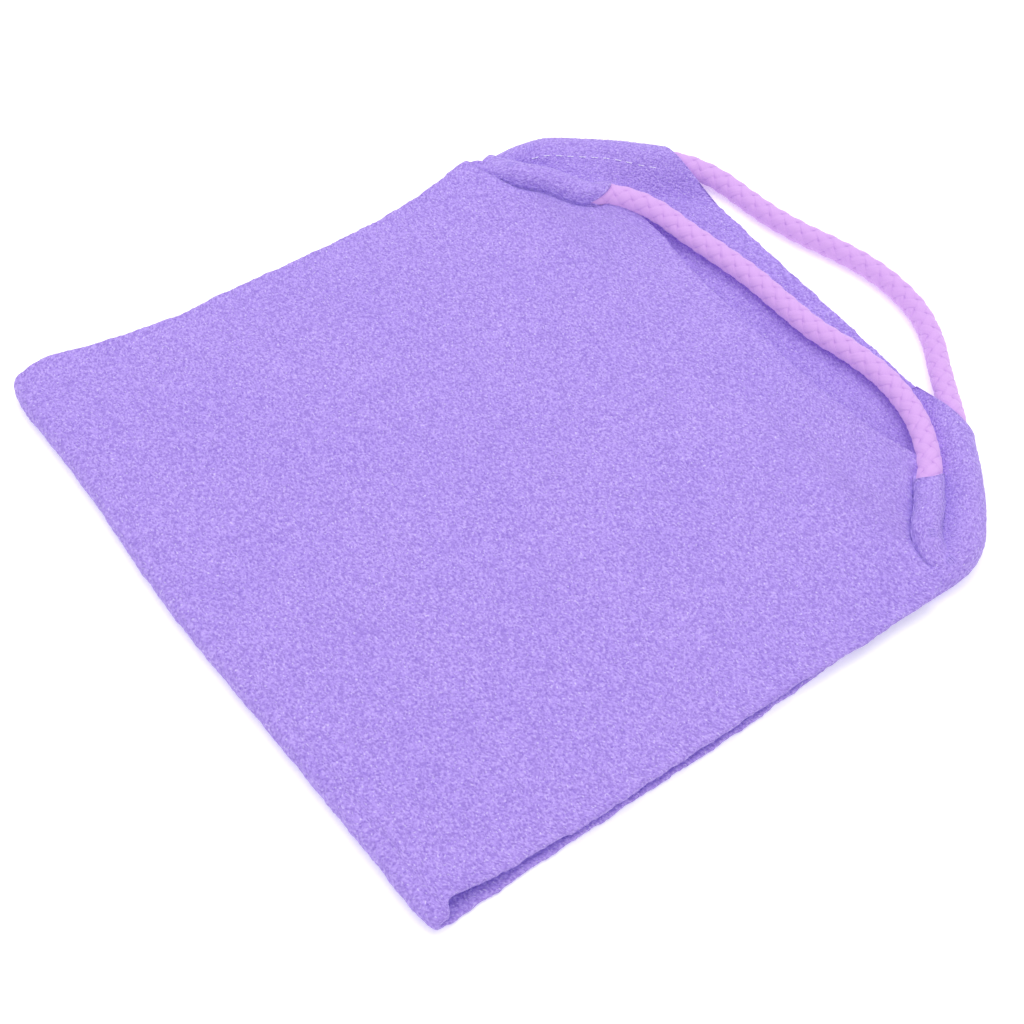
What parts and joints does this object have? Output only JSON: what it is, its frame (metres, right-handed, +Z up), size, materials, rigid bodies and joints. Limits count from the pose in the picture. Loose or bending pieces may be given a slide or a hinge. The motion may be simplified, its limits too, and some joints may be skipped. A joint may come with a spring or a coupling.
{
  "type": "exfoliating scrubbing strip",
  "caption": "Soft crepe-knit scrubbing strip folded in half, with a braided rope handle held in rolled corner casings at each end.",
  "frame": {"origin": "centre of the folded strip's footprint without its free ropes, on the surface it lies on", "axes": "+X from the fold towards the rope handles, +Y along the fold, +Z up, out of the face that lies uppermost"},
  "size_m": [0.2257, 0.19, 0.0127],
  "materials": {
    "knit": "matte lavender crepe knit, finely pebbled",
    "rope": "soft matte braided cord, pinkish lilac",
    "thread": "pale lilac sewing thread, slight sheen"
  },
  "bodies": {
    "lower_half": {"lower_cloth": "knit", "fold_bend": "knit", "lower_left_casing": "knit", "lower_right_casing": "knit", "lower_left_rope_end": "rope", "lower_right_rope_end": "rope", "lower_left_seam": "thread", "lower_right_seam": "thread", "lower_left_tack": "thread", "lower_right_tack": "thread"},
    "upper_half": {"upper_cloth": "knit", "upper_left_casing": "knit", "upper_right_casing": "knit", "upper_left_rope_end": "rope", "upper_right_rope_end": "rope", "upper_left_seam": "thread", "upper_right_seam": "thread", "upper_left_tack": "thread", "upper_right_tack": "thread"},
    "lower_handle": {"lower_rope": "rope"},
    "upper_handle": {"upper_rope": "rope"}
  },
  "joints": [
    {"name": "fold_open", "type": "hinge", "parent": "lower_half", "child": "upper_half", "pos_m": [-0.1035, 0, 0.0034], "axis": [0, -1, 0], "range_deg": [0, 178], "deforming": ["fold_bend"]},
    {"name": "upper_handle_swing", "type": "hinge", "parent": "upper_half", "child": "upper_handle", "pos_m": [0.07753, -0.00304, 0.0069], "axis": [0.0773, -0.997, 0], "range_deg": [0, 120]},
    {"name": "lower_handle_swing", "type": "hinge", "parent": "lower_half", "child": "lower_handle", "pos_m": [0.10063, -0.0001, 0.0048], "axis": [-0.0159, -0.9999, 0], "range_deg": [0, 90]}
  ]
}
